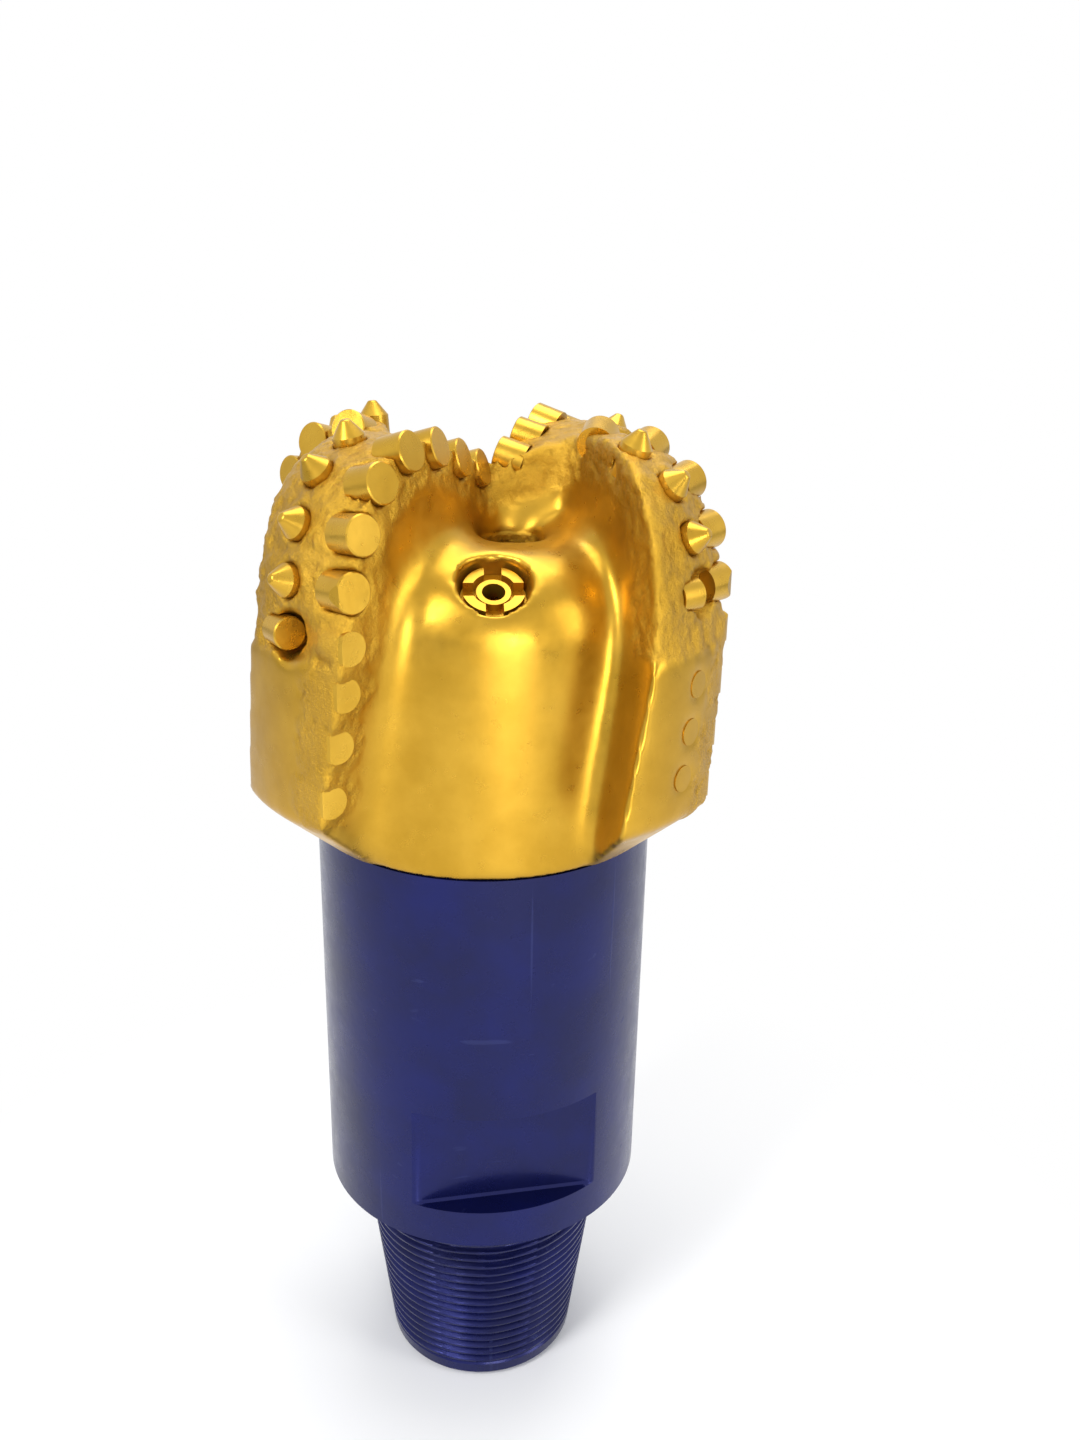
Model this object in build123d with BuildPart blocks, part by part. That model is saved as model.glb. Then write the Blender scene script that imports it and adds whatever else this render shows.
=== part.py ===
from build123d import *
from dataclasses import dataclass
from math import atan2, cos, degrees, radians, sin, sqrt
import os

# A four-bladed fixed-cutter drill bit, standing on the nose of its pin.
# Millimetres. +Z is the bit's axis, from the pin nose (z = 0) up to the cutting face.
# Crown heights are measured from the joint between crown and shank.

# Pin connection: 4-1/2 regular form, 1 in 4 taper on the diameter
pin_length = 107.95
pin_base_radius = 117.475 / 2
pin_taper = 0.25
pin_plain_length = 12.0
pin_nose_chamfer = 3.0
fluid_bore_radius = 28.5

# Shank
shank_radius = 152.4 / 2
shank_length = 186.0
shank_edge_chamfer = 1.3
flat_distance = 63.5
flat_ledge_height = 19.5
flat_top_height = 69.5
flat_azimuth = -81.0
spigot_radius = 55.0
spigot_length = 45.0
crown_z = pin_length + shank_length

# Crown core: a round body with a bullet-shaped top and a flat hub shelf
core_radius = 77.2
core_height = 131.0
core_round = 33.0
plenum_height = 92.0
plenum_cone = 20.0

# Gauge pads
gauge_radius = 215.9 / 2
pad_bevel_height = 26.5
pad_top_height = 95.0

# Curve through the centres of the cutter faces: cone, nose, shoulder and gauge
cone_angle = 17.5
nose_radius = 42.5
shoulder_radius = 108.0
shoulder_turn = 26.5
shoulder_start = 99.8
gauge_cutter_reach = 104.2
blade_cover = 1.2

# Blade plan. A blade's own x runs out along its azimuth, and its y points the way the bit turns.
spiral_per_mm = 0.105
spiral_top = 100.0
blade_sections = (-5.0, 32.0, 68.0, 104.0, 145.0, 195.0)
blade_outer = 120.0
blade_sweep = 31.5

# Cutters
face_cutter_radius = 8.0
face_cutter_length = 13.0
gauge_cutter_radius = 13.44 / 2
gauge_cutter_length = 12.0
cutter_pitch = 21.35
cutter_edge_chamfer = 0.5
back_rake = 17.0
pocket_run_out = 12.0

# Conical studs and the backup cutter of each blade
stud_radius = 6.5
stud_depth = 12.0
stud_stand = 1.6
stud_cone_height = 6.4
stud_tip_radius = 1.7
stud_tip_fillet = 1.4
stud_row_start = 60.0
backup_length = 11.0
backup_sink = 1.5
scoop_radius = 10.5
scoop_lead = 3.5

# Flush buttons in the gauge pads
button_radius = 5.5
button_depth = 8.0
button_heights = (44.0, 63.0, 82.0)
button_trail = 15.0

# Screw-in jet nozzles
nozzle_radius = 13.0
nozzle_body_length = 16.0
nozzle_orifice = 4.6
nozzle_ring_radius = 6.8
nozzle_ring_height = 3.4
lug_outer = 12.4
lug_inner = 8.6
lug_height = 5.0
lug_slot = 7.0
nozzle_recess = 5.5
recess_radius = 14.25
seal_section = 1.5
seal_depth = 11.0
recess_length = 22.0
passage_radius = 8.0
passage_length = 62.0
nozzle_inlet_length = 6.0
dome_nozzle_reach = 64.0
dome_nozzle_height = 123.0
dome_nozzle_tilt = 32.0


@dataclass
class Blade:
    name: str
    azimuth: float  # of the cutter faces where the shoulder meets the gauge
    toe: float  # how far the line of the faces passes ahead of the axis
    bulge: float  # how far that line bows forward
    inner_lead: tuple  # inner end of the blade on its leading side
    inner_trail: tuple  # inner end of the blade on its trailing side
    first_cutter: float  # innermost cutter, measured along the curve from the axis
    face_cutters: int
    gauge_heights: tuple
    stud_trail: float  # from the cutter faces back to the studs
    backup_last: bool  # the backup stands behind the last face cutter, not the first gauge cutter


@dataclass
class Jet:
    name: str
    azimuth: float
    reach: float
    height: float
    tilt: float


long_shape = dict(toe=0.0, bulge=3.2, stud_trail=33.0)
short_shape = dict(toe=34.0, bulge=1.0, inner_lead=(28.0, 26.0), inner_trail=(31.0, 20.0), stud_trail=27.0)

blades = (
    Blade("blade_1", -118.2, inner_lead=(-14.0, -2.0), inner_trail=(2.0, -29.0), first_cutter=2.6,
          face_cutters=7, gauge_heights=(38.5, 62.5, 84.0, 102.5), backup_last=False, **long_shape),
    Blade("blade_2", -21.5, first_cutter=51.0, face_cutters=5,
          gauge_heights=(34.0, 55.5, 77.0, 98.5), backup_last=True, **short_shape),
    Blade("blade_3", 63.5, inner_lead=(0.0, 0.0), inner_trail=(18.5, -27.0), first_cutter=14.7,
          face_cutters=7, gauge_heights=(34.0, 54.0, 74.0, 94.0), backup_last=True, **long_shape),
    Blade("blade_4", 158.0, first_cutter=61.1, face_cutters=4,
          gauge_heights=(38.5, 62.0, 85.5, 109.0), backup_last=False, **short_shape),
)

jets = (
    Jet("nozzle_1", -87.0, dome_nozzle_reach, dome_nozzle_height, dome_nozzle_tilt),
    Jet("nozzle_2", -56.7, 19.2, core_height, 0.0),
    Jet("nozzle_3", 9.0, dome_nozzle_reach, dome_nozzle_height, dome_nozzle_tilt),
    Jet("nozzle_4", 93.0, dome_nozzle_reach, dome_nozzle_height, dome_nozzle_tilt),
    Jet("nozzle_5", 132.0, 37.7, core_height, 18.0),
    Jet("nozzle_6", 188.0, dome_nozzle_reach, dome_nozzle_height, dome_nozzle_tilt),
)

# Centres of the two arcs of the curve, each tangent to the next stretch
shoulder_centre = (gauge_cutter_reach - shoulder_radius, shoulder_start)
nose_centre = (
    shoulder_centre[0] + (shoulder_radius - nose_radius) * cos(radians(shoulder_turn)),
    shoulder_centre[1] + (shoulder_radius - nose_radius) * sin(radians(shoulder_turn)),
)


def arc_point(centre, radius, angle):
    """Point on an arc of the curve, as reach and height."""
    return centre[0] + radius * cos(radians(angle)), centre[1] + radius * sin(radians(angle))


def curve_point(distance):
    """Reach, height and outward angle on the cutter curve, at a distance along it from the axis."""
    cone_end = arc_point(nose_centre, nose_radius, 90 + cone_angle)
    cone_length = cone_end[0] / cos(radians(cone_angle))
    nose_length = nose_radius * radians(90 + cone_angle - shoulder_turn)
    shoulder_length = shoulder_radius * radians(shoulder_turn)
    if distance < cone_length:
        back = cone_length - distance
        reach = cone_end[0] - back * cos(radians(cone_angle))
        return reach, cone_end[1] - back * sin(radians(cone_angle)), 90 + cone_angle
    distance -= cone_length
    if distance < nose_length:
        angle = 90 + cone_angle - degrees(distance / nose_radius)
        return (*arc_point(nose_centre, nose_radius, angle), angle)
    distance -= nose_length
    if distance < shoulder_length:
        angle = shoulder_turn - degrees(distance / shoulder_radius)
        return (*arc_point(shoulder_centre, shoulder_radius, angle), angle)
    return gauge_cutter_reach, shoulder_start - (distance - shoulder_length), 0.0


def lead_line(blade, x):
    """Forward offset of the line of cutter faces, in the blade's own plan."""
    part = x / gauge_cutter_reach
    return blade.toe * (1 - part) + 4 * blade.bulge * part * (1 - part)


def blade_turn(blade, height):
    """Azimuth of the blade's own x axis at a height: the blade spirals below the shoulder."""
    return blade.azimuth - spiral_per_mm * max(0.0, spiral_top - height)


def plan_point(blade, reach, trail):
    """Point in the blade's own plan at a reach from the axis, trailing the line of faces."""
    x = reach
    for _ in range(8):
        y = lead_line(blade, x) - trail
        x = sqrt(max(reach**2 - y**2, 0.0))
    return x, y


def cutter_plane(blade, reach, height, angle, trail=0.0, sink=0.0):
    """Plane on a cutter's face: its z is the face's normal, tilted by the back rake."""
    x, y = plan_point(blade, reach, trail)
    along_line = degrees(atan2(lead_line(blade, x + 1) - lead_line(blade, x), 1.0))
    from_axis = degrees(atan2(y, x))
    turn = blade_turn(blade, height)
    radial = Vector(1, 0, 0).rotate(Axis.Z, turn + (along_line + from_axis) / 2)
    forward = radial.rotate(Axis.Z, 90)
    outward = radial * cos(radians(angle)) + Vector(0, 0, 1) * sin(radians(angle))
    normal = forward * cos(radians(back_rake)) + outward * sin(radians(back_rake))
    centre = Vector(x, y, crown_z + height).rotate(Axis.Z, turn)
    return Plane(origin=centre - outward * sink, x_dir=outward.cross(forward), z_dir=normal)


def stud_plane(blade, reach, height, angle):
    """Plane on the blade's top where a stud stands: its z is the stud's axis."""
    x, y = plan_point(blade, reach, blade.stud_trail)
    centre = Vector(x, y, crown_z + height).rotate(Axis.Z, blade_turn(blade, height))
    radial = Vector(centre.X, centre.Y).normalized()
    outward = radial * cos(radians(angle)) + Vector(0, 0, 1) * sin(radians(angle))
    side = radial.rotate(Axis.Z, 90)
    return Plane(origin=centre + outward * blade_cover, x_dir=side, z_dir=outward)


def button_plane(blade, height):
    """Plane on the gauge pad where a button ends: its z points out from the axis."""
    azimuth = blade_turn(blade, height) - button_trail
    outward = Vector(1, 0, 0).rotate(Axis.Z, azimuth)
    centre = outward * gauge_radius + Vector(0, 0, crown_z + height)
    return Plane(origin=centre, x_dir=Vector(0, 0, 1), z_dir=outward)


def jet_plane(jet):
    """Plane on the nozzle's lug tops: its z is the jet's axis, pointing out of the crown."""
    radial = Vector(1, 0, 0).rotate(Axis.Z, jet.azimuth)
    axis = radial * sin(radians(jet.tilt)) + Vector(0, 0, 1) * cos(radians(jet.tilt))
    mouth = radial * jet.reach + Vector(0, 0, crown_z + jet.height)
    return Plane(origin=mouth - axis * nozzle_recess, x_dir=radial.rotate(Axis.Z, 90), z_dir=axis)


def face_stations(blade):
    """Reach, height and angle of each 16 mm cutter of a blade, from the centre outwards."""
    return [curve_point(blade.first_cutter + cutter_pitch * i) for i in range(blade.face_cutters)]


def stud_stations(blade):
    """Stations of a blade's conical studs, each behind a face cutter of the nose or shoulder."""
    row = [
        station
        for i, station in enumerate(face_stations(blade))
        if blade.first_cutter + cutter_pitch * i > stud_row_start
    ]
    return row[:-1] if blade.backup_last else row


def backup_station(blade):
    """Station of a blade's backup cutter, at the outer end of the stud row."""
    if blade.backup_last:
        return face_stations(blade)[-1]
    return gauge_cutter_reach, blade.gauge_heights[-1], 0.0


def face_planes(blade):
    return [cutter_plane(blade, *station) for station in face_stations(blade)]


def gauge_planes(blade):
    return [cutter_plane(blade, gauge_cutter_reach, height, 0.0) for height in blade.gauge_heights]


def backup_plane(blade):
    return cutter_plane(blade, *backup_station(blade), trail=blade.stud_trail, sink=backup_sink)


def stud_planes(blade):
    return [stud_plane(blade, *station) for station in stud_stations(blade)]


def button_planes(blade):
    return [button_plane(blade, height) for height in button_heights]


all_face_planes = [plane for blade in blades for plane in face_planes(blade)]
all_gauge_planes = [plane for blade in blades for plane in gauge_planes(blade)]
all_stud_planes = [plane for blade in blades for plane in stud_planes(blade)]
all_button_planes = [plane for blade in blades for plane in button_planes(blade)]
backup_planes = [backup_plane(blade) for blade in blades]
jet_planes = [jet_plane(jet) for jet in jets]

from_top = (Align.CENTER, Align.CENTER, Align.MAX)
from_bottom = (Align.CENTER, Align.CENTER, Align.MIN)

os.makedirs("parts", exist_ok=True)

# Shank: round body with two breaker flats, tapered pin below and spigot above
pin_nose_radius = pin_base_radius - (pin_length - pin_plain_length) * pin_taper / 2
flat_height = flat_top_height - flat_ledge_height

with BuildPart() as shank:
    with BuildSketch(Plane.XZ):
        with BuildLine():
            Polyline(
                (fluid_bore_radius, 0),
                (pin_nose_radius - pin_nose_chamfer, 0),
                (pin_nose_radius, pin_nose_chamfer),
                (pin_base_radius, pin_length - pin_plain_length),
                (pin_base_radius, pin_length),
                (shank_radius - shank_edge_chamfer, pin_length),
                (shank_radius, pin_length + shank_edge_chamfer),
                (shank_radius, crown_z),
                (spigot_radius, crown_z),
                (spigot_radius, crown_z + spigot_length),
                (fluid_bore_radius, crown_z + spigot_length),
                close=True,
            )
        make_face()
    revolve(axis=Axis.Z)
    for side in (flat_azimuth, flat_azimuth + 180):
        outward = Vector(1, 0, 0).rotate(Axis.Z, side)
        ledge = outward * flat_distance + Vector(0, 0, pin_length + flat_ledge_height)
        with BuildSketch(Plane(origin=ledge, x_dir=outward, z_dir=(0, 0, 1))):
            Rectangle(shank_radius, 2 * shank_radius, align=(Align.MIN, Align.CENTER))
        extrude(amount=flat_height, mode=Mode.SUBTRACT)
shank.part.label = "shank"
export_step(shank.part, "parts/shank.step")

# Crown: one steel body with four spiral blades, its cutter pockets, jets and plenum
with BuildPart() as crown_body:
    for blade in blades:
        pad_corner = Vector(gauge_radius, 0).rotate(Axis.Z, -blade_sweep)
        trail_slope = (pad_corner.Y - blade.inner_trail[1]) / (pad_corner.X - blade.inner_trail[0])
        trail_outer_x = (pad_corner.X + blade_outer) / 2
        trail_outer_y = pad_corner.Y + trail_slope * (trail_outer_x - pad_corner.X)
        middle_x = gauge_cutter_reach / 2
        for height in blade_sections:
            turned = Plane.XY.offset(crown_z + height).rotated((0, 0, blade_turn(blade, height)))
            with BuildSketch(turned):
                with BuildLine():
                    ThreePointArc(
                        (blade_outer, lead_line(blade, blade_outer)),
                        (middle_x, lead_line(blade, middle_x)),
                        blade.inner_lead,
                    )
                    Polyline(
                        blade.inner_lead,
                        blade.inner_trail,
                        (trail_outer_x, trail_outer_y),
                        (blade_outer, lead_line(blade, blade_outer)),
                    )
                make_face()
        loft()

    # Outer envelope of the blades: cone, nose, shoulder, raised gauge pad and bevel
    with BuildSketch(Plane.XZ):
        with BuildLine():
            cover_nose = nose_radius + blade_cover
            cover_shoulder = shoulder_radius + blade_cover
            cone_end = arc_point(nose_centre, cover_nose, 90 + cone_angle)
            apex = cone_end[1] - cone_end[0] * sin(radians(cone_angle)) / cos(radians(cone_angle))
            nose_mid = arc_point(nose_centre, cover_nose, (90 + cone_angle + shoulder_turn) / 2)
            nose_end = arc_point(nose_centre, cover_nose, shoulder_turn)
            shoulder_mid = arc_point(shoulder_centre, cover_shoulder, shoulder_turn / 2)
            shoulder_end = arc_point(shoulder_centre, cover_shoulder, 0)
            Line((0, crown_z + apex), (cone_end[0], crown_z + cone_end[1]))
            ThreePointArc(
                (cone_end[0], crown_z + cone_end[1]),
                (nose_mid[0], crown_z + nose_mid[1]),
                (nose_end[0], crown_z + nose_end[1]),
            )
            ThreePointArc(
                (nose_end[0], crown_z + nose_end[1]),
                (shoulder_mid[0], crown_z + shoulder_mid[1]),
                (shoulder_end[0], crown_z + shoulder_end[1]),
            )
            Polyline(
                (shoulder_end[0], crown_z + shoulder_end[1]),
                (shoulder_end[0], crown_z + pad_top_height),
                (gauge_radius, crown_z + pad_top_height),
                (gauge_radius, crown_z + pad_bevel_height),
                (core_radius, crown_z),
                (0, crown_z),
                (0, crown_z + apex),
            )
        make_face()
    revolve(axis=Axis.Z, mode=Mode.INTERSECT)

    # Core with its round shoulder and the flat hub shelf
    with BuildSketch(Plane.XY.offset(crown_z)):
        Circle(core_radius)
    extrude(amount=core_height - core_round)
    with BuildSketch(Plane.XZ):
        with BuildLine():
            Line((0, crown_z + core_height - core_round), (core_radius, crown_z + core_height - core_round))
            RadiusArc(
                (core_radius, crown_z + core_height - core_round),
                (core_radius - core_round, crown_z + core_height),
                -core_round,
            )
            Polyline(
                (core_radius - core_round, crown_z + core_height),
                (0, crown_z + core_height),
                (0, crown_z + core_height - core_round),
            )
        make_face()
    revolve(axis=Axis.Z)

    # Cutter, stud and button pockets, open towards the front or the top
    with Locations(*[plane.offset(pocket_run_out) for plane in all_face_planes]):
        Cylinder(face_cutter_radius, face_cutter_length + pocket_run_out, align=from_top, mode=Mode.SUBTRACT)
    with Locations(*[plane.offset(pocket_run_out) for plane in all_gauge_planes]):
        Cylinder(gauge_cutter_radius, gauge_cutter_length + pocket_run_out, align=from_top, mode=Mode.SUBTRACT)
    with Locations(*[plane.offset(pocket_run_out) for plane in all_stud_planes]):
        Cylinder(stud_radius, stud_depth + pocket_run_out, align=from_top, mode=Mode.SUBTRACT)
    with Locations(*[plane.offset(pocket_run_out) for plane in all_button_planes]):
        Cylinder(button_radius, button_depth + pocket_run_out, align=from_top, mode=Mode.SUBTRACT)
    with Locations(*backup_planes):
        Cylinder(gauge_cutter_radius, backup_length, align=from_top, mode=Mode.SUBTRACT)
    with Locations(*[plane.offset(scoop_lead) for plane in backup_planes]):
        Sphere(scoop_radius, mode=Mode.SUBTRACT)

    # Spigot socket, plenum and jets
    with BuildSketch(Plane.XZ):
        with BuildLine():
            Polyline(
                (0, crown_z),
                (spigot_radius, crown_z),
                (spigot_radius, crown_z + spigot_length),
                (fluid_bore_radius, crown_z + spigot_length),
                (fluid_bore_radius, crown_z + plenum_height - plenum_cone),
                (0, crown_z + plenum_height),
                close=True,
            )
        make_face()
    revolve(axis=Axis.Z, mode=Mode.SUBTRACT)
    with Locations(*[plane.offset(-lug_height) for plane in jet_planes]):
        Cylinder(recess_radius, recess_length, align=from_bottom, mode=Mode.SUBTRACT)
        Cylinder(nozzle_radius, nozzle_body_length, align=from_top, mode=Mode.SUBTRACT)
        Cylinder(passage_radius, passage_length, align=from_top, mode=Mode.SUBTRACT)
    with Locations(*[plane.offset(-lug_height - seal_depth) for plane in jet_planes]):
        Cylinder(nozzle_radius + 2 * seal_section, 2 * seal_section, mode=Mode.SUBTRACT)
crown_body.part.label = "crown_body"
export_step(crown_body.part, "parts/crown_body.step")

# Face cutters: 16 mm discs with a chamfered rim, ground flush where they reach the gauge
for blade in blades:
    for number, plane in enumerate(face_planes(blade), start=1):
        with BuildPart() as cutter:
            with BuildSketch(plane):
                Circle(face_cutter_radius)
            extrude(amount=-face_cutter_length)
            rim = cutter.edges().filter_by(GeomType.CIRCLE).sort_by_distance(plane.origin)[0]
            chamfer(rim, length=cutter_edge_chamfer)
            if face_stations(blade)[number - 1][0] + face_cutter_radius > gauge_radius:
                Cylinder(gauge_radius, 2 * crown_z, align=from_bottom, mode=Mode.INTERSECT)
        cutter.part.label = f"{blade.name}_cutter_{number}"
        export_step(cutter.part, f"parts/{cutter.part.label}.step")

# Gauge cutters: 13.44 mm discs, all ground flush with the gauge, one group for each blade
for blade in blades:
    with BuildPart() as gauge_cutters:
        for plane in gauge_planes(blade):
            with BuildSketch(plane):
                Circle(gauge_cutter_radius)
            extrude(amount=-gauge_cutter_length)
        Cylinder(gauge_radius, 2 * crown_z, align=from_bottom, mode=Mode.INTERSECT)
    gauge_cutters.part.label = f"{blade.name}_gauge_cutters"
    export_step(gauge_cutters.part, f"parts/{gauge_cutters.part.label}.step")

# Conical studs with round tips, behind the face cutters
with BuildPart() as stud_form:
    Cylinder(stud_radius, stud_depth, align=from_top)
    Cylinder(stud_radius, stud_stand, align=from_bottom)
    with Locations((0, 0, stud_stand)):
        Cone(stud_radius, stud_tip_radius, stud_cone_height, align=from_bottom)
    fillet(stud_form.edges().sort_by(Axis.Z)[-1], radius=stud_tip_fillet)

for blade in blades:
    with BuildPart() as studs:
        with Locations(*stud_planes(blade)):
            add(stud_form.part)
    studs.part.label = f"{blade.name}_studs"
    export_step(studs.part, f"parts/{studs.part.label}.step")

# Backup cutters, each in a scooped pocket at the outer end of the stud row
for blade in blades:
    with BuildPart() as backup:
        with BuildSketch(backup_plane(blade)):
            Circle(gauge_cutter_radius)
        extrude(amount=-backup_length)
        rim = backup.edges().filter_by(GeomType.CIRCLE).sort_by_distance(backup_plane(blade).origin)[0]
        chamfer(rim, length=cutter_edge_chamfer)
    backup.part.label = f"{blade.name}_backup_cutter"
    export_step(backup.part, f"parts/{backup.part.label}.step")

# Buttons pressed into the gauge pads and ground flush with them
for blade in blades:
    with BuildPart() as buttons:
        with Locations(*[plane.offset(button_depth) for plane in button_planes(blade)]):
            Cylinder(button_radius, 2 * button_depth, align=from_top)
        Cylinder(gauge_radius, 2 * crown_z, align=from_bottom, mode=Mode.INTERSECT)
    buttons.part.label = f"{blade.name}_gauge_buttons"
    export_step(buttons.part, f"parts/{buttons.part.label}.step")

# Jet nozzles: a threaded body with a raised orifice ring between four key lugs
with BuildPart() as nozzle_form:
    with Locations((0, 0, -lug_height)):
        Cylinder(nozzle_radius, nozzle_body_length, align=from_top)
        Cylinder(lug_outer, lug_height, align=from_bottom)
        Cylinder(lug_inner, lug_height, align=from_bottom, mode=Mode.SUBTRACT)
        for turn in (0, 90):
            Box(2 * nozzle_radius, lug_slot, lug_height, rotation=(0, 0, turn), align=from_bottom,
                mode=Mode.SUBTRACT)
        Cylinder(nozzle_ring_radius, nozzle_ring_height, align=from_bottom)
        Cylinder(nozzle_orifice, 2 * nozzle_body_length, mode=Mode.SUBTRACT)
    with Locations((0, 0, -lug_height - nozzle_body_length)):
        Cone(passage_radius, nozzle_orifice, nozzle_inlet_length, align=from_bottom, mode=Mode.SUBTRACT)

# Seal rings, in a groove of the crown round each nozzle body
with BuildPart() as seal_form:
    with Locations((0, 0, -lug_height - seal_depth)):
        Torus(nozzle_radius + seal_section, seal_section)

for jet, plane in zip(jets, jet_planes):
    with BuildPart() as nozzle:
        with Locations(plane):
            add(nozzle_form.part)
    nozzle.part.label = jet.name
    export_step(nozzle.part, f"parts/{jet.name}.step")
    with BuildPart() as seal:
        with Locations(plane):
            add(seal_form.part)
    seal.part.label = f"{jet.name}_seal"
    export_step(seal.part, f"parts/{seal.part.label}.step")
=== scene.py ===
import math

import bpy
import numpy as np
from mathutils import Matrix, Vector, noise
from mathutils.bvhtree import BVHTree


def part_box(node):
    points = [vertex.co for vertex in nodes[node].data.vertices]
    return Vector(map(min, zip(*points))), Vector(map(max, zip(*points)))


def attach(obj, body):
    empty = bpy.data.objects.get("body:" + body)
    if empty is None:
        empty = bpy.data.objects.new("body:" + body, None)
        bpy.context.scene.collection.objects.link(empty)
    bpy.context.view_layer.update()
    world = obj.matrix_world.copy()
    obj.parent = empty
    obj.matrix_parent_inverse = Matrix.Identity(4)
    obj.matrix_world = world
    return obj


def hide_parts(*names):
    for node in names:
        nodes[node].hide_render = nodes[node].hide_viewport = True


# A four-bladed fixed-cutter drill bit: gold crown, blue shank with a threaded pin.
# Metres. +Z is the bit's axis, from the pin nose up to the cutting face.

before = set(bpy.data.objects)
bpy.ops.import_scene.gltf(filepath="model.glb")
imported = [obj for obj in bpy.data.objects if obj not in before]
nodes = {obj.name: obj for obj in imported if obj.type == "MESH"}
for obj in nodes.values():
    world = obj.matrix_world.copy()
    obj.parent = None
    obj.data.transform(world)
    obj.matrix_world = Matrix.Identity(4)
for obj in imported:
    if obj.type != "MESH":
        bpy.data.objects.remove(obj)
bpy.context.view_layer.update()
MM = 0.001
TINY = 0.001
NO_AREA = 1e-12

# Shank, the same sizes as the solid's
PIN_LENGTH = 107.95 * MM
PIN_BASE_RADIUS = 117.475 / 2 * MM
PIN_TAPER = 0.25
PIN_PLAIN = 12.0 * MM
PIN_NOSE_CHAMFER = 3.0 * MM
BORE_RADIUS = 28.5 * MM
SHANK_RADIUS = 76.2 * MM
SHANK_CHAMFER = 1.3 * MM
CROWN_Z = PIN_LENGTH + 186.0 * MM
SPIGOT_RADIUS = 55.0 * MM
SPIGOT_LENGTH = 45.0 * MM
FLAT_DISTANCE = 63.5 * MM
FLAT_LOW = PIN_LENGTH + 19.5 * MM
FLAT_HIGH = PIN_LENGTH + 69.5 * MM
FLAT_AZIMUTH = math.radians(-81.0)
FLAT_EDGE = 0.3 * MM
FLAT_FILLET = 1.1 * MM
SHANK_SIDES = 216
EDGE_SPACING = 0.006
SHANK_SHARP = math.radians(32)
CUTTER_SHARP = math.radians(25)

# Thread of the pin: five turns to the inch, right-handed
THREAD_PITCH = 5.08 * MM
THREAD_DEPTH = 2.7 * MM
THREAD_HIGH = PIN_LENGTH - 15.5 * MM
THREAD_LOW = 8.5 * MM
THREAD_FADE = 3.0 * MM
THREAD_CREST = 0.2
THREAD_ROOT = 0.12
THREAD_ROWS = 14

# Crown form
GAUGE_RADIUS = 107.95 * MM
PAD_TOP = 95.0 * MM
GAUGE_SUNK = 0.3 * MM
BED_GROWTH = 0.35 * MM
BED_SET_BACK = 1.1 * MM
BLADES = (1, 2, 3, 4)
PLAIN_PADS = (1, 3, 4)
GAUGE_REACH = 104.2 * MM
SHOULDER_RADIUS = 108.0 * MM
SHOULDER_TURN = math.radians(26.5)
SHOULDER_START = 99.8 * MM
NOSE_RADIUS = 42.5 * MM
CONE_ANGLE = math.radians(17.5)

# Floor: the shadow is whole up to the first distance from the axis, and gone at the second
SHADOW_REACH = 0.12
SHADOW_END = 3 * SHADOW_REACH
FLOOR_SIZE = 6.0

# Camera at the photograph's viewing angle
CAMERA_PLACE = (0.0, -0.535284, 0.525632)
CAMERA_DOWN = math.radians(19.382)
CAMERA_YAW = math.radians(2.677)
CAMERA_ROLL = math.radians(1.176)
CAMERA_LENS = 31.25
SENSOR_WIDTH = 36.0

# Paint: the brown of its grain and of the painted shade in its hollows, and the lie of its scratches
GOLD_GRAIN_AND_HOLLOW_SHADE = (0.150, 0.070, 0.006)
SCRATCH_TURN = (0.5, 0.3, 0.2)

# Cast and welded surface of the crown
VOXEL = 1.55 * MM
CROWN_TRIANGLES = 190000
WELD_DEPTH = 17.0 * MM
WELD_EDGE = 4.0 * MM
WANDER = 3.0 * MM
PAD_WANDER = 0.5
STRIP_FULL = 4.0 * MM
STRIP_NONE = 9.0 * MM
STRIP_RISE = 15.0 * MM
PAD_EDGE_LOW = 1.5 * MM
PAD_EDGE_HIGH = 2.0 * MM
BARE_NEAR = 0.2 * MM
BARE_FAR = 2.5 * MM
BARE_REACH = 3.0 * MM
# How concave the skin must be for the painted shade in its hollows to start, and to be full
CAVITY_FROM = 0.06 * MM
CAVITY_FULL = 0.35 * MM
WELD_LUMP = 0.95 * MM
GRAIN_LUMP = 0.14 * MM
BARE_RELIEF = 0.15
FILLET_PASSES = 210
FILLET_SHARE = 0.8
NORMALS_EVERY = 5
SOFTEN_PASSES = 3
EVEN_PASSES = 6
SOFTEN_SHARE = 0.5
FILLET_CLEAR = 2.0 * MM
FILLET_FULL = 9.0 * MM

# Fractal noise: the cell, a shift that tells the fields apart, and the octaves
WANDER_NOISE = (14.0 * MM, 3.7, 2)
WELD_NOISE = (7.0 * MM, 11.3, 3)
GRAIN_NOISE = (2.4 * MM, 23.9, 2)
NOISE_FALL = 0.8
NOISE_STEP = 2.1


def smoothstep(low, high, value):
    """0 below low, 1 above high, smooth between them."""
    part = np.clip((value - low) / (high - low), 0.0, 1.0)
    return part * part * (3.0 - 2.0 * part)


def points_of(mesh):
    """The mesh's vertices as an array of rows."""
    flat = np.empty(len(mesh.vertices) * 3)
    mesh.vertices.foreach_get("co", flat)
    return flat.reshape(-1, 3)


def new_object(name, mesh):
    """A mesh as an object of the scene."""
    piece = bpy.data.objects.new(name, mesh)
    bpy.context.scene.collection.objects.link(piece)
    return piece


# ---------------------------------------------------------------- materials


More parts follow.
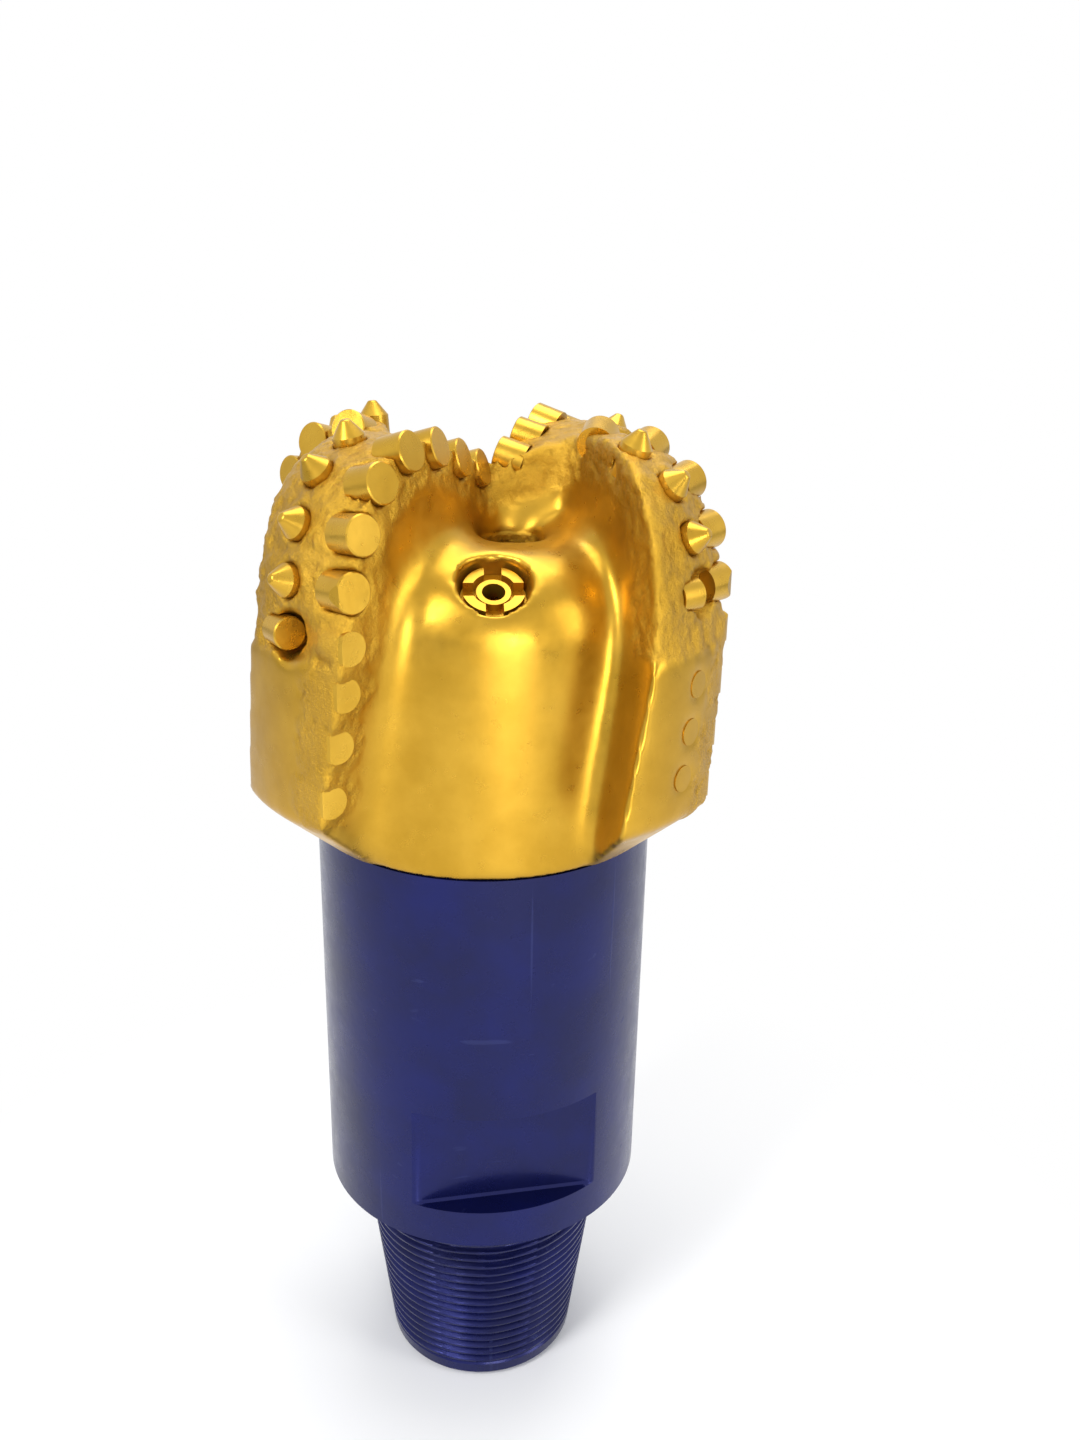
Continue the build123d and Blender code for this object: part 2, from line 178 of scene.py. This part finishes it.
class Shader:
    """A material's node tree, with short calls for the nodes that it needs."""

    def __init__(self, name):
        self.material = bpy.data.materials.new(name)
        self.material.use_nodes = True
        self.tree = self.material.node_tree
        self.surface = self.tree.nodes["Principled BSDF"]
        self.place = self.tree.nodes.new("ShaderNodeTexCoord").outputs["Object"]

    def link(self, source, target):
        self.tree.links.new(source, target)

    def noise(self, scale, detail=4.0, rough=0.55, stretch=None):
        """Noise of a given number of cells to the metre."""
        node = self.tree.nodes.new("ShaderNodeTexNoise")
        node.inputs["Scale"].default_value = scale
        node.inputs["Detail"].default_value = detail
        node.inputs["Roughness"].default_value = rough
        place = self.place
        if stretch:
            mapping = self.tree.nodes.new("ShaderNodeMapping")
            mapping.inputs["Scale"].default_value = stretch
            mapping.inputs["Rotation"].default_value = SCRATCH_TURN
            self.link(place, mapping.inputs["Vector"])
            place = mapping.outputs["Vector"]
        self.link(place, node.inputs["Vector"])
        return node.outputs["Fac"]

    def spread(self, source, low, high, out_low, out_high):
        """The source's range from low to high, spread over another range."""
        node = self.tree.nodes.new("ShaderNodeMapRange")
        ends = {"From Min": low, "From Max": high, "To Min": out_low, "To Max": out_high}
        for name, value in ends.items():
            node.inputs[name].default_value = value
        self.link(source, node.inputs["Value"])
        return node.outputs["Result"]

    def math(self, kind, first, second):
        """A sum, product or the like of two sockets or numbers."""
        node = self.tree.nodes.new("ShaderNodeMath")
        node.operation = kind
        for socket, value in zip(node.inputs, (first, second)):
            if isinstance(value, (int, float)):
                socket.default_value = value
            else:
                self.link(value, socket)
        return node.outputs["Value"]

    def mix(self, factor, first, second):
        """Two colours mixed by a factor."""
        node = self.tree.nodes.new("ShaderNodeMix")
        node.data_type = "RGBA"
        self.link(factor, node.inputs["Factor"])
        for name, value in (("A", first), ("B", second)):
            socket = [s for s in node.inputs if s.name == name and s.type == "RGBA"][0]
            if isinstance(value, tuple):
                socket.default_value = (*value, 1.0)
            else:
                self.link(value, socket)
        return [s for s in node.outputs if s.type == "RGBA"][0]

    def attribute(self, name):
        """A number that the mesh carries at each vertex."""
        node = self.tree.nodes.new("ShaderNodeAttribute")
        node.attribute_name = name
        return node.outputs["Fac"]

    def bump(self, height, distance, strength=1.0, under=None):
        """The normal of a fine relief, over that of another relief if one is given."""
        node = self.tree.nodes.new("ShaderNodeBump")
        node.inputs["Distance"].default_value = distance
        node.inputs["Strength"].default_value = strength
        self.link(height, node.inputs["Height"])
        if under:
            self.link(under, node.inputs["Normal"])
        return node.outputs["Normal"]


def gold_paint(name, light, deep, dark, gloss):
    """Satin metallic gold paint. Welded stretches carry grain, and hollows are darkened browner as painted
    shade.
    """
    shader = Shader(name)
    surface = shader.surface
    cloud = shader.spread(shader.noise(38.0, 5.0), 0.35, 0.65, 0.0, 1.0)
    paint = shader.mix(cloud, light, deep)
    speckle = shader.spread(shader.noise(1500.0, 3.0), 0.3, 0.7, 0.0, 1.0)
    grain = shader.attribute("grain")
    dusty = shader.math("MULTIPLY", shader.math("MULTIPLY", grain, speckle), 0.22)
    paint = shader.mix(dusty, paint, dark)
    # Painted shade: the skin's hollows are darkened towards the brown
    hollow = shader.math("MULTIPLY", shader.attribute("cavity_shade"), 0.45)
    shader.link(shader.mix(hollow, paint, dark), surface.inputs["Base Color"])
    satin = shader.spread(shader.noise(160.0, 4.0), 0.3, 0.7, gloss - 0.05, gloss + 0.07)
    rough = shader.math("ADD", satin, shader.math("MULTIPLY", grain, 0.05))
    shader.link(rough, surface.inputs["Roughness"])
    surface.inputs["Metallic"].default_value = 0.9
    grit = shader.math("MULTIPLY", shader.noise(620.0, 6.0, 0.7), grain)
    normal = shader.bump(grit, 0.0006)
    normal = shader.bump(shader.noise(420.0, 3.0), 0.00006, 0.6, normal)
    shader.link(normal, surface.inputs["Normal"])
    return shader.material


def blue_paint(name):
    """Deep blue gloss paint on turned steel, with fine light scratches."""
    shader = Shader(name)
    surface = shader.surface
    cloud = shader.spread(shader.noise(24.0, 4.0), 0.35, 0.65, 0.0, 1.0)
    paint = shader.mix(cloud, (0.0062, 0.0095, 0.088), (0.0068, 0.0088, 0.058))
    fine = shader.noise(240.0, 2.0, 0.5, stretch=(1.0, 1.0, 0.03))
    level = shader.noise(200.0, 2.0, 0.5, stretch=(0.04, 1.0, 1.0))
    upright = shader.spread(fine, 0.70, 0.74, 0, 1)
    crosswise = shader.spread(level, 0.71, 0.75, 0, 1)
    scratch = shader.math("MAXIMUM", upright, crosswise)
    worn = shader.math("MULTIPLY", scratch, 0.11)
    shader.link(shader.mix(worn, paint, (0.07, 0.09, 0.26)), surface.inputs["Base Color"])
    satin = shader.spread(shader.noise(90.0, 5.0), 0.3, 0.7, 0.24, 0.34)
    shader.link(shader.math("ADD", satin, worn), surface.inputs["Roughness"])
    surface.inputs["Metallic"].default_value = 0.6
    surface.inputs["Specular IOR Level"].default_value = 0.3
    surface.inputs["Coat Weight"].default_value = 0.10
    surface.inputs["Coat Roughness"].default_value = 0.12
    normal = shader.bump(shader.noise(330.0, 4.0), 0.00007, 0.7)
    normal = shader.bump(scratch, 0.00005, 0.5, normal)
    shader.link(normal, surface.inputs["Normal"])
    return shader.material


def black_rubber(name):
    """Matt black rubber."""
    shader = Shader(name)
    surface = shader.surface
    cloud = shader.noise(300.0, 4.0)
    paint = shader.mix(cloud, (0.010, 0.010, 0.011), (0.028, 0.028, 0.030))
    shader.link(paint, surface.inputs["Base Color"])
    shader.link(shader.spread(cloud, 0.3, 0.7, 0.55, 0.75), surface.inputs["Roughness"])
    shader.link(shader.bump(shader.noise(1800.0, 2.0), 0.00005), surface.inputs["Normal"])
    return shader.material


crown_gold = gold_paint("crown_gold", (0.53, 0.305, 0.030), (0.44, 0.245, 0.019), GOLD_GRAIN_AND_HOLLOW_SHADE, 0.31)
cutter_gold = gold_paint("cutter_gold", (0.57, 0.34, 0.038), (0.48, 0.275, 0.025), GOLD_GRAIN_AND_HOLLOW_SHADE, 0.29)
nozzle_gold = gold_paint("nozzle_gold", (0.53, 0.305, 0.032), (0.44, 0.245, 0.021), GOLD_GRAIN_AND_HOLLOW_SHADE, 0.29)
shank_blue = blue_paint("shank_blue")
seal_rubber = black_rubber("seal_rubber")


def material_for(name):
    """The finish of a CAD node, by what the node is."""
    if name.endswith("_seal"):
        return seal_rubber
    if name.startswith("nozzle"):
        return nozzle_gold
    if name == "shank":
        return shank_blue
    if name == "crown_body" or name.endswith("buttons"):
        return crown_gold
    return cutter_gold


for name, node in nodes.items():
    if node.type == "MESH":
        node.data.materials.clear()
        node.data.materials.append(material_for(name))


# ---------------------------------------------------------------- crown


def distance_to(names, points, reach):
    """Distance of each point from the nearest of the named nodes, up to a reach."""
    corners, faces = [], []
    for name in names:
        mesh = nodes[name].data
        start = len(corners)
        corners.extend(v.co.copy() for v in mesh.vertices)
        faces.extend([start + i for i in face.vertices] for face in mesh.polygons)
    tree = BVHTree.FromPolygons(corners, faces)
    found = np.full(len(points), reach)
    for i, point in enumerate(points):
        hit = tree.find_nearest(Vector(point), reach)
        if hit[3] is not None:
            found[i] = hit[3]
    return found


def depth_in_envelope(points):
    """How far each point lies inside the curve that the cutters turn on."""
    reach = np.hypot(points[:, 0], points[:, 1])
    height = points[:, 2] - CROWN_Z
    shoulder_x = GAUGE_REACH - SHOULDER_RADIUS
    nose_x = shoulder_x + (SHOULDER_RADIUS - NOSE_RADIUS) * math.cos(SHOULDER_TURN)
    nose_z = SHOULDER_START + (SHOULDER_RADIUS - NOSE_RADIUS) * math.sin(SHOULDER_TURN)
    cone = math.pi / 2 + CONE_ANGLE
    to_shoulder = SHOULDER_RADIUS - np.hypot(reach - shoulder_x, height - SHOULDER_START)
    to_nose = NOSE_RADIUS - np.hypot(reach - nose_x, height - nose_z)
    to_cone = NOSE_RADIUS - (reach - nose_x) * math.cos(cone) - (height - nose_z) * math.sin(cone)
    on_shoulder = np.arctan2(height - SHOULDER_START, reach - shoulder_x) < SHOULDER_TURN
    on_nose = np.arctan2(height - nose_z, reach - nose_x) < cone
    on_nose &= height > nose_z - NOSE_RADIUS
    above = np.where(on_shoulder, to_shoulder, np.where(on_nose, to_nose, to_cone))
    return np.where(height < SHOULDER_START, GAUGE_REACH - reach, above)


class Surface:
    """A mesh as arrays, for smoothing and relief."""

    def __init__(self, mesh):
        self.points = points_of(mesh)
        self.count = len(self.points)
        edges = np.empty(len(mesh.edges) * 2, dtype=np.int64)
        mesh.edges.foreach_get("vertices", edges)
        edges = edges.reshape(-1, 2)
        self.start = np.concatenate((edges[:, 0], edges[:, 1]))
        self.end = np.concatenate((edges[:, 1], edges[:, 0]))
        self.degree = np.maximum(np.bincount(self.start, minlength=self.count), 1)
        mesh.calc_loop_triangles()
        corners = np.empty(len(mesh.loop_triangles) * 3, dtype=np.int64)
        mesh.loop_triangles.foreach_get("vertices", corners)
        self.triangles = corners.reshape(-1, 3)

    def gather(self, index, values):
        """Sum of the rows of values that belong to each vertex."""
        return np.stack([np.bincount(index, values[:, k], self.count) for k in range(3)], axis=1)

    def pull(self):
        """From each vertex to the middle of its neighbours."""
        return self.gather(self.start, self.points[self.end]) / self.degree[:, None] - self.points

    def normals(self):
        """The outward normal of each vertex."""
        a, b, c = (self.points[self.triangles[:, k]] for k in range(3))
        face = np.cross(b - a, c - a)
        total = sum(self.gather(self.triangles[:, k], face) for k in range(3))
        return total / np.maximum(np.linalg.norm(total, axis=1), NO_AREA)[:, None]

    def soften(self, passes, mask):
        """Evens out the surface, in hollows and on crests alike."""
        for _ in range(passes):
            self.points = self.points + self.pull() * (SOFTEN_SHARE * mask)[:, None]

    def fill(self, passes, mask):
        """Fills hollows with a growing fillet, and leaves crests where they are."""
        for step in range(passes):
            if step % NORMALS_EVERY == 0:
                normals = self.normals()
            pull = self.pull()
            hollow = np.sum(pull * normals, axis=1) > 0.0
            self.points = self.points + pull * (FILLET_SHARE * mask * hollow)[:, None]


def noise_field(points, cell, offset, octaves):
    """Fractal noise at each point, from about -1 to 1."""
    shift = Vector((offset, offset, offset))
    place = [Vector(p) / cell + shift for p in points]
    return np.array([noise.fractal(p, NOISE_FALL, NOISE_STEP, octaves) for p in place])


def ground(points, radius):
    """The points, with those beyond a radius brought in to it."""
    reach = np.hypot(points[:, 0], points[:, 1])
    share = np.minimum(radius / np.maximum(reach, TINY), 1.0)
    return points * np.stack((share, share, np.ones(len(points))), axis=1)


def bedding(mesh):
    """Points of a cutter or button, grown a little and set back, as the steel that beds it."""
    points = points_of(mesh) + np.array([v.normal for v in mesh.vertices]) * BED_GROWTH
    back = -BED_SET_BACK / GAUGE_REACH
    x = points[:, 0] * math.cos(back) - points[:, 1] * math.sin(back)
    y = points[:, 0] * math.sin(back) + points[:, 1] * math.cos(back)
    return ground(np.stack((x, y, points[:, 2]), axis=1), GAUGE_RADIUS)


def solid_for_crown():
    """The crown's solid, with steel over the flanks of the gauge cutters and the buttons that don't show."""
    corners, faces = [], []
    bedded = [f"blade_{i}_gauge_buttons" for i in PLAIN_PADS]
    bedded += [f"blade_{i}_gauge_cutters" for i in BLADES]
    for name in ["crown_body"] + bedded:
        mesh = nodes[name].data
        first = len(corners)
        points = points_of(mesh) if name == "crown_body" else bedding(mesh)
        corners.extend(points.tolist())
        faces.extend([first + i for i in face.vertices] for face in mesh.polygons)
    mesh = bpy.data.meshes.new("crown_solid")
    mesh.from_pydata(corners, [], faces)
    return new_object("crown_solid", mesh)


def voxel_mesh(source):
    """The source as one even mesh, in place of the source."""
    remesh = source.modifiers.new("voxels", "REMESH")
    remesh.mode = "VOXEL"
    remesh.voxel_size = VOXEL
    remesh.adaptivity = 0.0
    shown = source.evaluated_get(bpy.context.evaluated_depsgraph_get())
    mesh = bpy.data.meshes.new_from_object(shown)
    mesh.name = "crown"
    bpy.data.objects.remove(source)
    return mesh


def weld_share(points, gauge):
    """Where hard-facing lies, 0 to 1: a band below the blade tops and a strip round the gauge cutters."""
    depth = depth_in_envelope(points)
    height = points[:, 2] - CROWN_Z
    wander = noise_field(points, *WANDER_NOISE) * WANDER
    band = 1.0 - smoothstep(WELD_DEPTH - WELD_EDGE, WELD_DEPTH + WELD_EDGE, depth + wander)
    by_gauge = distance_to(gauge, points, STRIP_NONE + WANDER)
    strip = 1.0 - smoothstep(STRIP_FULL, STRIP_NONE, by_gauge + wander)
    above_pad = smoothstep(PAD_TOP - PAD_EDGE_LOW, PAD_TOP + PAD_EDGE_HIGH, height + wander * PAD_WANDER)
    return np.maximum(band * above_pad, strip * (height < PAD_TOP + STRIP_RISE))


def weld_relief(points, weld, fixed):
    """Height of the hard-facing's lumps and grain, nearly bare beside the cutters and nozzles."""
    near = smoothstep(BARE_NEAR, BARE_FAR, distance_to(fixed, points, BARE_REACH))
    lumps = noise_field(points, *WELD_NOISE) * WELD_LUMP
    grains = noise_field(points, *GRAIN_NOISE) * GRAIN_LUMP
    return (lumps + grains) * weld * (BARE_RELIEF + (1.0 - BARE_RELIEF) * near)


def thinned(mesh, triangles):
    """The mesh as the crown's object, thinned to about CROWN_TRIANGLES."""
    full = new_object("crown_full", mesh)
    thin = full.modifiers.new("thin", "DECIMATE")
    thin.ratio = min(CROWN_TRIANGLES / triangles, 1.0)
    shown = full.evaluated_get(bpy.context.evaluated_depsgraph_get())
    crown = new_object("crown", bpy.data.meshes.new_from_object(shown))
    bpy.data.objects.remove(full)
    return crown


def make_crown():
    """The crown as one skin: root fillets, welded hard-facing, and steel over the gauge cutters' flanks."""
    mesh = voxel_mesh(solid_for_crown())
    skin = Surface(mesh)
    fixed = [n for n in nodes if n.startswith(("blade", "nozzle")) and not n.endswith(("buttons", "seal"))]
    gauge = [n for n in nodes if n.endswith("gauge_cutters")]
    clear = smoothstep(FILLET_CLEAR, FILLET_FULL, distance_to(fixed, skin.points, FILLET_FULL))
    skin.soften(SOFTEN_PASSES, np.ones(skin.count))
    skin.fill(FILLET_PASSES, clear)
    skin.soften(EVEN_PASSES, clear)

    weld = weld_share(skin.points, gauge)
    relief = weld_relief(skin.points, weld, fixed)
    skin.points = skin.points + skin.normals() * relief[:, None]
    # Concavity of the skin, which the gold paint darkens as painted shade
    hollow = np.sum(skin.pull() * skin.normals(), axis=1)
    cavity_shade = smoothstep(CAVITY_FROM, CAVITY_FULL, hollow)
    low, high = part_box("crown_body")
    skin.points = np.clip(skin.points, np.array(low), np.array(high))
    skin.points = ground(skin.points, GAUGE_RADIUS)

    mesh.vertices.foreach_set("co", skin.points.ravel())
    for name, values in (("grain", weld), ("cavity_shade", cavity_shade)):
        layer = mesh.attributes.new(name, "FLOAT", "POINT")
        layer.data.foreach_set("value", values.astype(np.float32))
    mesh.materials.clear()
    mesh.materials.append(crown_gold)
    mesh.polygons.foreach_set("use_smooth", np.ones(len(mesh.polygons), dtype=bool))
    mesh.update()
    crown = thinned(mesh, len(skin.triangles))
    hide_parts("crown_body", *[f"blade_{i}_gauge_buttons" for i in PLAIN_PADS])
    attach(crown, "root")


# ---------------------------------------------------------------- shank


def thread_cut(height, angle):
    """Depth of the thread's groove at a height and an angle of the pin."""
    phase = ((height / THREAD_PITCH - angle / (2 * math.pi)) % 1.0 - 0.5) * 2.0
    flank = (abs(phase) - THREAD_CREST) / (1.0 - THREAD_CREST - THREAD_ROOT)
    fade = min(
        max((THREAD_HIGH - height) / THREAD_FADE, 0.0),
        max((height - THREAD_LOW) / THREAD_FADE, 0.0),
        1.0,
    )
    return THREAD_DEPTH * min(max(flank, 0.0), 1.0) * fade


def flat_limit(distance, angle):
    """Radius at which a flat at that distance from the axis cuts the shank, or the shank's own."""
    facing = max(abs(math.cos(angle - FLAT_AZIMUTH)), TINY)
    return min(distance / facing, SHANK_RADIUS)


def shank_profile():
    """Closed outline of the section, as reach, height and cut: a flat's distance, thread or nothing."""
    nose_radius = PIN_BASE_RADIUS - (PIN_LENGTH - PIN_PLAIN) * PIN_TAPER / 2
    rows = [(BORE_RADIUS, 0.0, "")]
    rows += [(nose_radius - PIN_NOSE_CHAMFER, 0.0, ""), (nose_radius, PIN_NOSE_CHAMFER, "")]
    cone_top = PIN_LENGTH - PIN_PLAIN
    step = THREAD_PITCH / THREAD_ROWS
    for i in range(1, int((cone_top - PIN_NOSE_CHAMFER) / step)):
        height = PIN_NOSE_CHAMFER + i * step
        share = (height - PIN_NOSE_CHAMFER) / (cone_top - PIN_NOSE_CHAMFER)
        rows.append((nose_radius + (PIN_BASE_RADIUS - nose_radius) * share, height, "thread"))
    rows += [(PIN_BASE_RADIUS, cone_top, ""), (PIN_BASE_RADIUS, PIN_LENGTH, "")]
    rows += [(SHANK_RADIUS - SHANK_CHAMFER, PIN_LENGTH, ""), (SHANK_RADIUS, PIN_LENGTH + SHANK_CHAMFER, "")]
    rows += [(SHANK_RADIUS, FLAT_LOW, ""), (SHANK_RADIUS, FLAT_LOW + FLAT_EDGE, FLAT_DISTANCE + FLAT_FILLET)]
    rows += [(SHANK_RADIUS, FLAT_LOW + FLAT_EDGE + FLAT_FILLET, FLAT_DISTANCE)]
    rows += [(SHANK_RADIUS, FLAT_HIGH - FLAT_EDGE, FLAT_DISTANCE), (SHANK_RADIUS, FLAT_HIGH, "")]
    rows += [(SHANK_RADIUS, CROWN_Z, ""), (SPIGOT_RADIUS, CROWN_Z, "")]
    rows += [(SPIGOT_RADIUS, CROWN_Z + SPIGOT_LENGTH, ""), (BORE_RADIUS, CROWN_Z + SPIGOT_LENGTH, "")]
    return rows


def make_shank():
    """The shank as one closed skin of rows and turns, with the pin's thread and the breaker flats."""
    corner = math.acos(FLAT_DISTANCE / SHANK_RADIUS)
    even = [2 * math.pi * i / SHANK_SIDES for i in range(SHANK_SIDES)]
    facings = (FLAT_AZIMUTH, FLAT_AZIMUTH + math.pi)
    edges = [(facing + side * corner) % (2 * math.pi) for facing in facings for side in (-1, 1)]
    angles = sorted([a for a in even if min(abs(a - e) for e in edges) > EDGE_SPACING] + edges)
    rows = shank_profile()
    corners = []
    for reach, height, cut in rows:
        for angle in angles:
            radius = reach
            if cut == "thread":
                radius = reach - thread_cut(height, angle)
            elif cut:
                radius = flat_limit(cut, angle)
            corners.append((radius * math.cos(angle), radius * math.sin(angle), height))
    turns = len(angles)
    faces = []
    for row in range(len(rows)):
        above = (row + 1) % len(rows)
        for i in range(turns):
            j = (i + 1) % turns
            faces.append((row * turns + i, row * turns + j, above * turns + j, above * turns + i))
    mesh = bpy.data.meshes.new("shank_steel")
    mesh.from_pydata(corners, [], faces)
    mesh.materials.append(shank_blue)
    mesh.polygons.foreach_set("use_smooth", np.ones(len(mesh.polygons), dtype=bool))
    mesh.set_sharp_from_angle(angle=SHANK_SHARP)
    mesh.update()
    steel = new_object("shank_steel", mesh)
    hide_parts("shank")
    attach(steel, "root")


def make_gauge_cutters(blade):
    """One blade's gauge cutters, ground to the gauge so that they don't stand out of the pad."""
    node = f"blade_{blade}_gauge_cutters"
    mesh = nodes[node].data.copy()
    mesh.name = f"blade_{blade}_ground_cutters"
    points = ground(points_of(mesh), GAUGE_RADIUS - GAUGE_SUNK)
    mesh.vertices.foreach_set("co", points.ravel())
    mesh.set_sharp_from_angle(angle=CUTTER_SHARP)
    mesh.update()
    cutters = new_object(mesh.name, mesh)
    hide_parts(node)
    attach(cutters, "root")


make_crown()
make_shank()
for blade in BLADES:
    make_gauge_cutters(blade)


# ---------------------------------------------------------------- stage, light and camera


def make_floor():
    """A pale floor that keeps the bit's shadow near it, and is white to the camera further out."""
    mesh = bpy.data.meshes.new("floor")
    corners = [(x * FLOOR_SIZE, y * FLOOR_SIZE, 0) for x, y in ((-1, -1), (1, -1), (1, 1), (-1, 1))]
    mesh.from_pydata(corners, [], [(0, 1, 2, 3)])
    shader = Shader("floor")
    pale = shader.mix(shader.noise(2.0), (0.93, 0.93, 0.93), (0.95, 0.95, 0.95))
    shader.link(pale, shader.surface.inputs["Base Color"])
    shader.surface.inputs["Roughness"].default_value = 0.9
    shader.surface.inputs["Specular IOR Level"].default_value = 0.1
    nodes_of = shader.tree.nodes
    length = nodes_of.new("ShaderNodeVectorMath")
    length.operation = "LENGTH"
    shader.link(shader.place, length.inputs[0])
    far = shader.spread(length.outputs["Value"], SHADOW_REACH, SHADOW_END, 0.0, 1.0)
    seen = shader.math("MULTIPLY", far, nodes_of.new("ShaderNodeLightPath").outputs["Is Camera Ray"])
    white = nodes_of.new("ShaderNodeEmission")
    blend = nodes_of.new("ShaderNodeMixShader")
    shader.link(seen, blend.inputs["Fac"])
    shader.link(shader.surface.outputs["BSDF"], blend.inputs[1])
    shader.link(white.outputs["Emission"], blend.inputs[2])
    shader.link(blend.outputs["Shader"], nodes_of["Material Output"].inputs["Surface"])
    mesh.materials.append(shader.material)
    new_object("floor", mesh)


def make_world():
    """White where the camera or a gloss sees it, and plain grey as a light."""
    world = bpy.data.worlds.new("studio")
    bpy.context.scene.world = world
    world.use_nodes = True
    tree = world.node_tree
    tree.nodes.clear()
    output = tree.nodes.new("ShaderNodeOutputWorld")
    blend = tree.nodes.new("ShaderNodeMixShader")
    path = tree.nodes.new("ShaderNodeLightPath")
    either = tree.nodes.new("ShaderNodeMath")
    either.operation = "MAXIMUM"
    any_ray = tree.nodes.new("ShaderNodeMath")
    any_ray.operation = "MAXIMUM"
    fill = tree.nodes.new("ShaderNodeBackground")
    seen = tree.nodes.new("ShaderNodeBackground")
    fill.inputs["Color"].default_value = (0.45, 0.46, 0.48, 1.0)
    seen.inputs["Color"].default_value = (1.0, 1.0, 1.0, 1.0)
    tree.links.new(path.outputs["Is Camera Ray"], either.inputs[0])
    tree.links.new(path.outputs["Is Glossy Ray"], either.inputs[1])
    tree.links.new(either.outputs["Value"], any_ray.inputs[0])
    tree.links.new(path.outputs["Is Transmission Ray"], any_ray.inputs[1])
    tree.links.new(any_ray.outputs["Value"], blend.inputs["Fac"])
    tree.links.new(fill.outputs["Background"], blend.inputs[1])
    tree.links.new(seen.outputs["Background"], blend.inputs[2])
    tree.links.new(blend.outputs["Shader"], output.inputs["Surface"])


def make_lamp(name, place, aim, size, power):
    """A soft rectangular lamp at a place, turned to what it lights."""
    data = bpy.data.lights.new(name, "AREA")
    data.shape = "RECTANGLE"
    data.size, data.size_y = size
    data.energy = power
    lamp = bpy.data.objects.new(name, data)
    bpy.context.scene.collection.objects.link(lamp)
    lamp.location = place
    lamp.rotation_mode = "QUATERNION"
    lamp.rotation_quaternion = (Vector(aim) - Vector(place)).to_track_quat("-Z", "Y")


def make_camera():
    """In front of the crown, a little above it, and looking down."""
    level = math.cos(CAMERA_DOWN)
    ahead = Vector((math.sin(CAMERA_YAW) * level, math.cos(CAMERA_YAW) * level, -math.sin(CAMERA_DOWN)))
    right = ahead.cross(Vector((0.0, 0.0, 1.0))).normalized()
    up = right.cross(ahead)
    x_axis = right * math.cos(CAMERA_ROLL) + up * math.sin(CAMERA_ROLL)
    y_axis = up * math.cos(CAMERA_ROLL) - right * math.sin(CAMERA_ROLL)
    data = bpy.data.cameras.new("camera")
    data.sensor_width = SENSOR_WIDTH
    data.lens = CAMERA_LENS
    camera = bpy.data.objects.new("camera", data)
    bpy.context.scene.collection.objects.link(camera)
    turn = Matrix((x_axis, y_axis, -ahead)).transposed().to_4x4()
    camera.matrix_world = Matrix.Translation(CAMERA_PLACE) @ turn
    bpy.context.scene.camera = camera


make_floor()
make_world()
middle = (0.0, 0.0, 0.3)
make_lamp("key", (-0.9, -1.0, 1.25), middle, (0.5, 0.8), 17.0)
make_lamp("fill", (1.25, -0.7, 0.7), middle, (0.5, 1.2), 8.0)
make_lamp("top", (0.1, 0.3, 1.6), middle, (1.0, 1.0), 12.0)
make_lamp("low", (0.35, -1.3, 0.3), (0.0, 0.0, 0.1), (0.5, 0.4), 6.0)
make_camera()
bpy.context.scene.view_settings.view_transform = "Standard"
